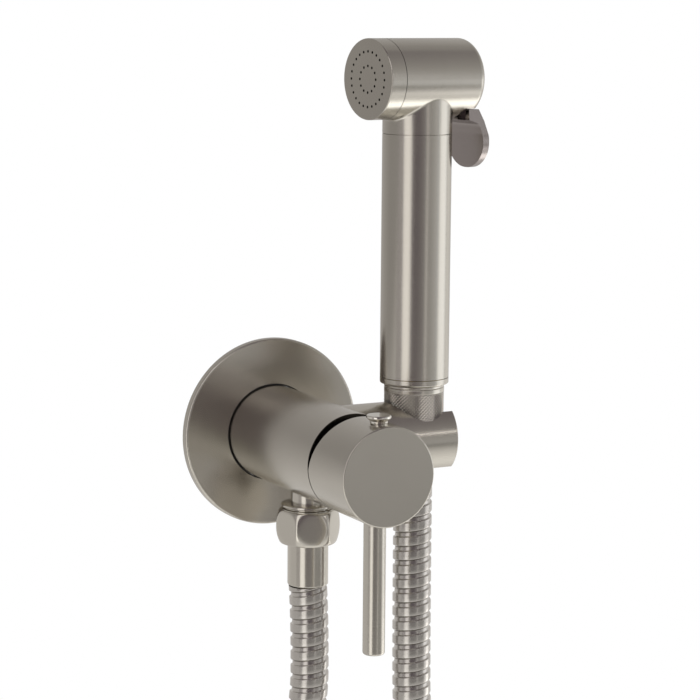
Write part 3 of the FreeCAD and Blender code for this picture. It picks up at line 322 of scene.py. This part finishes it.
class Finish:
    """A material with a Principled shader; numbers that are the same all over go on its sockets."""

    def __init__(self, name, **plain):
        self.material = bpy.data.materials.new(name)
        self.material.use_nodes = True
        self.tree = self.material.node_tree
        self.shader = self.tree.nodes["Principled BSDF"]
        for socket, part in plain.items():
            self.set(socket.replace("_", " "), part)

    def set(self, socket, part):
        feed(self.tree, self.shader.inputs[socket], part)

    def node(self, kind, settings=(), sockets=(), output=0):
        made = self.tree.nodes.new(kind)
        for name, part in dict(settings).items():
            setattr(made, name, part)
        for name, part in dict(sockets).items():
            feed(self.tree, made.inputs[name], part)
        return Value(self.tree, made.outputs[output])

    def place(self):
        """Where on the object a point lies, in metres of the common frame."""
        return self.node("ShaderNodeTexCoord", output="Object")

    def part(self, index):
        """One coordinate of that place: 0 is across, 1 out of the wall, 2 up."""
        return self.node("ShaderNodeSeparateXYZ", (), {0: self.place()}, output=index)

    def vector(self, operation, *parts, output=0):
        return self.node("ShaderNodeVectorMath", {"operation": operation}, dict(enumerate(parts)),
                         output)

    def noise(self, where, scale, detail=2.0, roughness=0.5):
        return self.node("ShaderNodeTexNoise", (), {"Vector": where, "Scale": scale,
                                                    "Detail": detail, "Roughness": roughness})

    def ramp(self, part, low, high, least=0.0, most=1.0):
        """A number that goes from least to most while the part goes from low to high."""
        return self.node("ShaderNodeMapRange", (), {
            "Value": part, "From Min": low, "From Max": high, "To Min": least, "To Max": most})

    def blend(self, factor, first, second):
        """A colour between two colours."""
        return self.node("ShaderNodeMix", {"data_type": "RGBA"},
                         {0: factor, 6: first, 7: second}, output=2)

    def bump(self, height, distance):
        self.set("Normal", self.node("ShaderNodeBump", (), {
            "Height": height, "Distance": distance, "Strength": 1.0}))


print("finish tools ready")

# %% [markdown]
# The mixer is solid brass with a brushed nickel finish: a warm grey metal whose fine lines run
# round each turned piece, as left by an abrasive belt while the piece spins. The lines are too fine
# to see one by one, but they blur reflections along the axis. So the material works out, from the
# piece's own axis, a number that changes only across the lines, stretches a noise by it, and lets
# it tilt the surface a little. The same number serves a turned face, where the lines are rings.

# %% Brushed nickel
NICKEL = (0.61, 0.58, 0.525)
NICKEL_DARK = (0.55, 0.52, 0.465)
GROOVE_SHADE_AND_DIRT = (0.42, 0.395, 0.365)
# Painted shade for an end face that lies deep in a gap.
GAP_SHADE_PAINT = (0.05, 0.045, 0.04)
LINES_PER_METRE = 3600.0    # the scale of the noise across the lines,
ALONG_LINES = 40.0          # and along them, where it changes slowly
LINE_DEPTH = 0.000012
PATCHES_PER_METRE = 55.0


def lines_round(finish, point, axis):
    """A vector whose first part changes across the lines of a piece turned about the axis."""
    rel = finish.vector("SUBTRACT", finish.place(), point)
    along = finish.vector("DOT_PRODUCT", rel, axis, output="Value")
    part = finish.node("ShaderNodeVectorMath", {"operation": "SCALE"}, {0: axis, "Scale": along})
    off = finish.vector("SUBTRACT", rel, part)
    out = finish.vector("LENGTH", off, output="Value")
    return finish.node("ShaderNodeCombineXYZ", (), {
        0: (along + out) * LINES_PER_METRE, 1: finish.part(0) * ALONG_LINES,
        2: finish.part(2) * ALONG_LINES})


def brushed(name, point, axis, rough=0.23, dark=NICKEL_DARK, light=NICKEL, front=None):
    finish = Finish(name, Metallic=1.0)
    lines = lines_round(finish, Vector(point) * MM, Vector(axis))
    streak = finish.noise(lines, 1.0, 3.0, 0.6)
    patch = finish.noise(finish.place(), PATCHES_PER_METRE)
    colour = finish.blend(streak * 0.5 + patch * 0.5, dark, light)
    if front is not None:
        # Painted shade: in front of this place the end face, which lies in a narrow gap, is painted
        # near black.
        colour = finish.blend(finish.part(1) < front * MM, colour, GAP_SHADE_PAINT)
    finish.set("Base Color", colour)
    finish.set("Roughness", rough - 0.05 + streak * 0.06 + patch * 0.04)
    finish.bump(streak, LINE_DEPTH)
    return finish.material


def grooved(name, point, radius, depth):
    """Brushed metal that is darker the deeper it lies under a radius about an upright axis: painted
    shade in the grooves, with some dirt.
    """
    finish = Finish(name, Metallic=1.0, Roughness=0.24)
    flat = finish.vector("MULTIPLY", finish.place(), (1, 1, 0))
    out = finish.vector("DISTANCE", flat, Vector(point) * MM, output="Value")
    height = finish.ramp(out, (radius - depth) * MM, radius * MM)
    finish.set("Base Color", finish.blend(height, GROOVE_SHADE_AND_DIRT, NICKEL))
    return finish.material


HEAD_TURN = math.radians(8.84)
head_axis = (-math.cos(HEAD_TURN), -math.sin(HEAD_TURN), 0)
head_point = (*GRIP, 141.3)
out_of_wall, upright = (0, 1, 0), (0, 0, 1)
BARREL_FRONT = -72.55
NUT_R, KNURL_DEPTH = 11.55, 0.4     # the knurled nut's radius and the depth of its grooves
from_wall = brushed("brushed_from_wall", (0, 0, 0), out_of_wall)
# The barrel's front face, inside the gap under the cap, carries painted shade.
on_barrel = brushed("brushed_barrel", (0, 0, 0), out_of_wall, front=BARREL_FRONT)
on_grip = brushed("brushed_grip", (*GRIP, 0), upright)
on_head = brushed("brushed_head", head_point, head_axis)
# Painted shade: the trigger is the same brushed nickel, painted darker and a little purple for its
# place under the spray head.
trigger_in_painted_shade = brushed("brushed_trigger", head_point, head_axis, dark=(0.36, 0.32, 0.31),
                     light=(0.42, 0.38, 0.365))
on_outlet = brushed("brushed_outlet", (*OUTLET, 0), upright, rough=0.2)
on_pin = brushed("brushed_pin", (0, -90.5, 0), upright)
on_knurl = grooved("knurled_nickel", (*GRIP, 0), NUT_R, KNURL_DEPTH)
print("brushed finishes 8")

# %% [markdown]
# The other metals and plastics are mostly inside. Each still has the variation that its making
# leaves: a cast or turned grain, a drawn wire's streaks, the soft unevenness of moulded plastic.

# %% Other finishes
def plain_finish(name, dark, light, rough, grain=900.0, tilt=0.00001, metal=0.0, spread=0.12):
    finish = Finish(name, Metallic=metal)
    grainy = finish.noise(finish.place(), grain, 3.0)
    patch = finish.noise(finish.place(), grain / 12, 2.0)
    finish.set("Base Color", finish.blend(grainy * 0.4 + patch * 0.6, dark, light))
    finish.set("Roughness", rough - spread / 2 + patch * spread)
    finish.bump(grainy, tilt)
    return finish.material


polished = plain_finish("polished_nickel", (0.70, 0.67, 0.61), (0.76, 0.73, 0.68), 0.07, metal=1.0,
                        tilt=0.000001, spread=0.03)
hose_steel = plain_finish("hose_steel", (0.47, 0.445, 0.42), (0.58, 0.555, 0.525), 0.24, metal=1.0,
                          grain=1500.0, tilt=0.000006)
brass = plain_finish("cast_brass", (0.55, 0.40, 0.16), (0.70, 0.54, 0.27), 0.38, metal=1.0)
# Painted shade: a near-black copy of the brass, for the ring nut in the gap under the cap.
brass_in_painted_shade = plain_finish("brass_in_painted_shade", (0.12, 0.09, 0.05), (0.18, 0.14, 0.08), 0.5, metal=1.0)
stainless = plain_finish("stainless", (0.50, 0.50, 0.49), (0.62, 0.62, 0.61), 0.25, metal=1.0)
rubber = plain_finish("black_rubber", (0.016, 0.016, 0.017), (0.032, 0.032, 0.034), 0.62)
foam = plain_finish("grey_foam", (0.10, 0.10, 0.105), (0.17, 0.17, 0.175), 0.9, grain=1800.0,
                    tilt=0.0001)
ceramic = plain_finish("white_ceramic", (0.80, 0.80, 0.77), (0.87, 0.87, 0.85), 0.14,
                       tilt=0.000002)
white_plastic = plain_finish("white_plastic", (0.70, 0.70, 0.67), (0.80, 0.80, 0.77), 0.42)
black_plastic = plain_finish("black_plastic", (0.018, 0.018, 0.02), (0.04, 0.04, 0.044), 0.45)
print("other finishes 10")

# %% [markdown]
# The valve's return spring is wound between the stem's plate and a washer at the back of the
# head. Pressing the trigger pulls the plate back, so the spring gets shorter towards the washer.
# A copy of the CAD spring, with a mesh of its own, stands in for it. The CAD spring can't do
# that, so a copy of it stands in.

# %% The return spring
spring = bpy.data.objects.new("return_spring", nodes["valve_spring"].data.copy())
scene.collection.objects.link(spring)


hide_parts("valve_spring")
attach(spring, "hand_spray")
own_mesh(spring)

# %% [markdown]
# Each CAD piece gets the finish of what it is made of, and the pieces made so far get theirs; the
# barrel, the ring nut and the trigger carry painted shade in theirs. CAD pieces that a new piece
# stands for aren't shown, so they are left out.

# %% Finishes on the CAD pieces
wear = {
    from_wall: ["wall_rose", "cap"],
    on_barrel: ["mixer_barrel"],
    on_grip: ["grip_sleeve", "grip_end_ring", "upper_ferrule"],
    on_head: ["spray_head", "spray_face"],
    trigger_in_painted_shade: ["trigger"],
    on_outlet: ["lower_ferrule"],
    on_pin: ["pin_lever"],
    polished: ["index_stud"],
    brass: ["concealed_body", "grip_nipple", "lower_tail", "upper_tail", "valve_seat"],
    brass_in_painted_shade: ["ring_nut"],
    stainless: ["barrel_screws", "cross_pin", "spindle", "cap_grub_screw", "valve_stem", "stem_nut",
                "spring_washer", "trigger_pin"],
    rubber: ["rose_ring", "barrel_seals", "cartridge_seals", "hose_washer", "upper_washer",
             "face_seal", "valve_disc", "stem_seal"],
    foam: ["rose_gasket"],
    ceramic: ["fixed_disc", "moving_disc"],
    white_plastic: ["cartridge_housing", "cartridge_base", "disc_carrier", "turning_guide",
                    "check_valve", "water_tube"],
}


def dress(piece, material):
    piece.data.materials.clear()
    piece.data.materials.append(material)


for material, names in wear.items():
    for name in names:
        dress(nodes[name], material)
dress(hose, hose_steel)
dress(strap, black_plastic)
dress(spring, stainless)
print("dressed", sum(len(names) for names in wear.values()), "CAD pieces")

# %% [markdown]
# Three turned pieces have forms that a plain CAD turning lacks. One function makes them, as rings
# of points stacked along an upright axis: each ring has a radius and a height, and the radius may
# change with the angle. The rings run up the outside and down the inside, so the mesh is closed.

# %% Turned meshes
SHARP = math.radians(35)    # edges with a wider angle than this stay sharp


def stacked(name, axis, rings, columns, smooth=True):
    """Rings are given in mm, as (radius or function of the angle, height)."""
    x, y = axis
    points, faces = [], []
    for radius, z in rings:
        for j in range(columns):
            angle = 2 * math.pi * j / columns
            r = radius(angle) if callable(radius) else radius
            points.append(Vector((x + r * math.cos(angle), y + r * math.sin(angle), z)) * MM)
    for i in range(len(rings)):
        here, above = i * columns, (i + 1) % len(rings) * columns
        for j in range(columns):
            k = (j + 1) % columns
            faces.append((here + j, here + k, above + k, above + j))
    piece = mesh_piece(name, points, faces, smooth)
    if smooth:
        piece.data.set_sharp_from_angle(angle=SHARP)
    return piece


print("turned meshes ready")

# %% [markdown]
# The hose nut is a hexagon whose corners are turned to a barrel shape. Polishing has washed its
# edges out, so its radius is a soft minimum of the hexagon's and the barrel's: a high power keeps
# each where it is clearly the smaller, and rounds the line where they meet.

# %% Hose nut
HEX_FLAT, HEX_TURN = 11.1, math.radians(12.3)   # half the width across flats, and how it is turned
EDGE_POWER = 34
NUT_RINGS = 24
hex_foot, hex_top, inner_foot = -37.9, -24.5, -37.05
turned_foot, turned_middle, turned_top = 10.9, 12.75, 11.2      # radii of the barrel shape
thread_r, tail_r = 10.53, 8.0


def nut_side(z, inset=0.0):
    """The nut's radius at one height, as a function of the angle."""
    share = 2 * (z - hex_foot) / (hex_top - hex_foot) - 1
    ends = (turned_top + turned_foot) / 2
    lean = (turned_top - turned_foot) / 2
    turned = turned_middle + lean * share + (ends - turned_middle) * share ** 2

    def radius(angle):
        off_flat = (angle - HEX_TURN + math.pi / 6) % (math.pi / 3) - math.pi / 6
        flat = HEX_FLAT / math.cos(off_flat)
        return (flat ** -EDGE_POWER + turned ** -EDGE_POWER) ** (-1 / EDGE_POWER) - inset

    return radius


rings = [(tail_r, hex_foot), (nut_side(hex_foot, 0.45), hex_foot),
         (nut_side(hex_foot, 0.12), hex_foot + 0.1)]
for k in range(1, NUT_RINGS):
    z = hex_foot + (hex_top - hex_foot) * k / NUT_RINGS
    rings.append((nut_side(z), z))
rings += [(nut_side(hex_top, 0.12), hex_top - 0.1), (nut_side(hex_top, 0.4), hex_top),
          (thread_r, hex_top), (thread_r, inner_foot), (tail_r, inner_foot)]
hex_nut = stacked("rounded_hose_nut", OUTLET, rings, 144)
dress(hex_nut, on_outlet)
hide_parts("hose_nut")
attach(hex_nut, "root")
print("hose nut", len(hex_nut.data.polygons), "faces")

# %% [markdown]
# Above the hose nut sits the nipple that is screwed into the barrel. Its flange is a thin rounded
# disc, and the narrow gap between the flange and the nut stays dark.

# %% Outlet nipple
neck_r, flange_r, flange_foot, flange_top = 6.75, 10.5, -23.5, -22.4
male_r, undercut_r, undercut_foot = 10.475, 9.6, -23.9
bore_r, pocket_r, pocket_top = 4.5, 7.0, -24.95
nipple_top, nipple_foot = -10.35, -33.5
rings = [(pocket_r, nipple_foot), (male_r - 0.375, nipple_foot), (male_r, nipple_foot + 0.4),
         (male_r, undercut_foot - 0.3), (undercut_r, undercut_foot), (undercut_r, flange_foot),
         (flange_r - 0.3, flange_foot), (flange_r, flange_foot + 0.3),
         (flange_r, flange_top - 0.35), (flange_r - 0.1, flange_top - 0.1),
         (flange_r - 0.35, flange_top), (neck_r, flange_top), (neck_r, nipple_top),
         (bore_r, nipple_top), (bore_r, pocket_top), (pocket_r, pocket_top)]
nipple = stacked("thin_flange_nipple", OUTLET, rings, 96)
dress(nipple, on_outlet)
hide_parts("outlet_nipple")
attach(nipple, "root")
print("nipple", len(nipple.data.polygons), "faces")

# %% [markdown]
# The nut at the hand spray's foot is knurled: two sets of crossing spiral grooves leave rows of
# small pyramids that wet fingers can turn. They stand little more than a millimetre apart but break
# up the light, so they are modelled on a fine grid whose points fall exactly on grooves and peaks.

# %% Knurled cone nut
KNURLS = 52
PER_KNURL = 4       # points round one pyramid, and rings up it
nut_top, knurl_top, groove_foot, groove_top = 25.25, 22.4, 24.1, 24.35
cone_foot_r, cone_foot, cone_top = 8.28, -4.14, 4.84
hose_r, inner_r, mouth_r, ledge = 7.4, 10.55, 10.6, 8.0


def knurl(u, v):
    """Height of a pyramid between crossing grooves, from 0 to 1; grooves lie at whole numbers."""
    first, second = (u + v) % 1.0, (u - v) % 1.0
    return 2 * min(first, 1 - first, second, 1 - second)


# The grooves lean 45 degrees, so a pyramid is as tall as it is wide.
step = 2 * math.pi * NUT_R / KNURLS
low, high = cone_top + 0.35, knurl_top - 0.25


def knurled_side(z):
    def radius(angle):
        height = knurl(angle * KNURLS / (2 * math.pi), (z - low) / step)
        return NUT_R - KNURL_DEPTH * (1 - height)

    return radius


rings = [(hose_r, cone_foot), (cone_foot_r - 0.3, cone_foot), (cone_foot_r, cone_foot + 0.3),
         (NUT_R - 0.35, cone_top)]
for k in range(int((high - low) / step * PER_KNURL) + 1):
    z = low + k * step / PER_KNURL
    rings.append((knurled_side(z), z))
for foot, top in ((knurl_top, groove_foot), (groove_top, nut_top)):
    rings += [(NUT_R - 0.25, foot - 0.15), (NUT_R - 0.05, foot), (NUT_R, foot + 0.1),
              (NUT_R, top - 0.2), (NUT_R - 0.06, top - 0.06)]
rings += [(NUT_R - 0.3, nut_top), (mouth_r, nut_top), (inner_r, ledge), (hose_r, ledge)]
nut = stacked("knurled_nut", GRIP, rings, PER_KNURL * KNURLS, smooth=False)
dress(nut, on_knurl)
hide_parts("cone_nut")
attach(nut, "hand_spray")
print("knurled nut", len(nut.data.polygons), "faces")

# %% [markdown]
# The studio is a pale wall, which the mixer is mounted on, a pale floor far below it, and a room
# round both. The photograph's background is plain white, so rays from the camera see all three as
# white, while the light comes from lamps. Their materials end in a mix of shaders, so a class adds
# that to the finish. Wall and floor are seen from the room only: from behind or below they are
# clear, so that the connections in the wall can be looked at.

# %% Studio surfaces
PURE_WHITE = (1, 1, 1)


class Surface(Finish):
    """A studio surface: like a finish, but it ends in the shader that it is given."""

    output = "Material Output"

    def end(self, shader):
        self.tree.links.new(shader.socket, self.tree.nodes[self.output].inputs["Surface"])

    def mix(self, factor, first, second):
        return self.node("ShaderNodeMixShader", (), {0: factor, 1: first, 2: second})

    def glow(self, colour, strength):
        return self.node("ShaderNodeEmission", (), {"Color": colour, "Strength": strength})

    def matt(self, colour):
        return self.node("ShaderNodeBsdfDiffuse", (), {"Color": colour})

    def ray(self, kind):
        return self.node("ShaderNodeLightPath", output=kind)

    def looked_at(self):
        """1 for what the camera looks at, also through clear pieces, and 0 for the rest."""
        return self.ray("Is Camera Ray") + self.ray("Is Transmission Ray")

    def on_front(self, shader):
        """The shader on the side that faces the room, and nothing on the other."""
        back = self.node("ShaderNodeNewGeometry", output="Backfacing")
        return self.mix(back, shader, self.node("ShaderNodeBsdfTransparent"))


def sheet_of(name, corners, paint):
    sheet = mesh_piece(name, corners, [(0, 1, 2, 3)], smooth=False)
    dress(sheet, paint.material)
    return sheet


print("surface tools ready")

# %% [markdown]
# What the metal mirrors matters more than what lights it. The wall is therefore dusky in mirrors,
# apart from its lower part and its right part, which are the bright areas in the photographed
# metal. The floor is bright in mirrors near the mixer and dims with the distance.

# %% Wall and floor
FLOOR = -0.9
WALL_HALF, FLOOR_HALF = 1.2, 3.4
wall_paint = Surface("pale_wall")
across_wall, up_wall = wall_paint.part(0), wall_paint.part(2)
right_part = (wall_paint.ramp(across_wall, -0.05, 0.25)
              * wall_paint.ramp(up_wall, 0.12, 0.3, least=1.0, most=0.0))
low_part = wall_paint.ramp(up_wall, 0.03, -0.035, most=0.55)
wall_mirrored = wall_paint.mix(right_part + low_part, wall_paint.glow((1, 0.96, 0.93), 0.37),
                               wall_paint.glow((1, 0.98, 0.95), 0.86))
wall_lit = wall_paint.mix(wall_paint.ray("Is Glossy Ray"), wall_paint.matt((0.8, 0.8, 0.8)),
                          wall_mirrored)
wall_paint.end(wall_paint.on_front(wall_paint.mix(wall_paint.looked_at(), wall_lit,
                                                  wall_paint.glow(PURE_WHITE, 1.0))))
wall = sheet_of("wall", [(-WALL_HALF, 0, FLOOR), (WALL_HALF, 0, FLOOR), (WALL_HALF, 0, -FLOOR),
                         (-WALL_HALF, 0, -FLOOR)], wall_paint)

floor_paint = Surface("pale_floor")
from_middle = floor_paint.vector("DISTANCE", floor_paint.place(), (0.2, -0.15, FLOOR),
                                 output="Value")
near_part = floor_paint.ramp(from_middle, 0.4, 2.6, least=1.0, most=0.0)
floor_mirrored = floor_paint.mix(near_part, floor_paint.glow((1, 0.97, 0.92), 0.27),
                                 floor_paint.glow((1, 0.99, 0.96), 1.05))
floor_seen = floor_paint.mix(floor_paint.looked_at(), floor_paint.matt((0.85, 0.85, 0.84)),
                             floor_paint.glow(PURE_WHITE, 1.0))
floor_paint.end(floor_paint.on_front(floor_paint.mix(floor_paint.ray("Is Glossy Ray"), floor_seen,
                                                     floor_mirrored)))
floor = sheet_of("floor", [(x * FLOOR_HALF, y * FLOOR_HALF, FLOOR)
                           for x, y in ((-1, -1), (1, -1), (1, 1), (-1, 1))], floor_paint)
print("wall and floor")

# %% [markdown]
# The rest of the room is the world's background. It is dim at the upper left, and grows lighter
# towards the lower right, where the bright side of the photographer's room was.

# %% Room
class Room(Surface):
    """The world's background, made with the same tools."""

    output = "World Output"

    def __init__(self, name):
        self.world = bpy.data.worlds.new(name)
        self.world.use_nodes = True
        self.tree = self.world.node_tree

    def glow(self, colour, strength):
        return self.node("ShaderNodeBackground", (), {"Color": colour, "Strength": strength})


LOWER_RIGHT = (1.0, 0.0, -0.8)
room = Room("room")
scene.world = room.world
direction = room.node("ShaderNodeTexCoord", output="Generated")
slope = room.vector("DOT_PRODUCT", direction, LOWER_RIGHT, output="Value")
left_side = room.mix(((slope + 0.35) * 1.25).held(), room.glow((1.0, 0.86, 0.93), 0.16),
                     room.glow((1.0, 0.97, 0.94), 0.42))
all_sides = room.mix((slope * 2.0 - 0.9).held(), left_side, room.glow((0.98, 0.99, 1.0), 0.72))
room.end(room.mix(room.looked_at(), all_sides, room.glow(PURE_WHITE, 1.0)))
print("room ready")

# %% [markdown]
# Brushed metal shows what is round it, so the lamps are placed as shapes to be seen in it. A tall
# panel at the left makes the cream band on each upright cylinder, and a weak one beside it lights
# their left edge. A narrow strip in front makes the thin line between dark and light. A panel and
# a strip above give the rims and the arm their lines, a wide panel at the right gives the bright
# right edges, and a low one the band along the spray head's underside.

# %% Lamps
def softbox(name, place, aim, width, height, level, colour):
    """An area lamp with its face toward the aim; level is its brightness as seen in a mirror."""
    data = bpy.data.lights.new(name, "AREA")
    data.shape = "RECTANGLE"
    data.size, data.size_y = width, height
    data.energy = level * math.pi * width * height
    data.color = colour
    lamp = bpy.data.objects.new(name, data)
    place, aim = Vector(place), Vector(aim)
    lamp.location = place
    lamp.rotation_euler = (place - aim).to_track_quat("Z", "Y").to_euler()
    lamp.visible_camera = False
    scene.collection.objects.link(lamp)


CREAM = (1, 0.99, 0.96)
middle, left_aim, low_aim = (0.02, -0.05, 0.03), (0.02, -0.05, 0.3), (0.166, -0.1, 0.144)
softbox("left_panel", (-0.85, -0.585, 0.3), left_aim, 0.50, 2.3, 1.06, CREAM)
softbox("left_edge", (-0.98, -0.16, 0.05), middle, 0.26, 1.2, 0.28, CREAM)
softbox("front_strip", (0.17, -1.25, 0.05), middle, 0.12, 1.2, 0.5, CREAM)
softbox("top_panel", (-0.31, -0.86, 0.85), middle, 0.8, 0.5, 0.8, (1, 0.99, 0.97))
softbox("top_strip", (0.587, -1.088, 0.333), middle, 0.36, 0.05, 2.8, (1, 0.97, 0.94))
softbox("right_panel", (1.0, -0.40, -0.17), middle, 0.62, 0.7, 0.68, PURE_WHITE)
softbox("low_panel", (0.466, -0.12, -0.306), low_aim, 0.20, 0.30, 1.4, CREAM)
print("lamps 7")

# %% [markdown]
# The view transform stays plain, so that colours render as they are written.

# %% Finish
scene.view_settings.view_transform = "Standard"
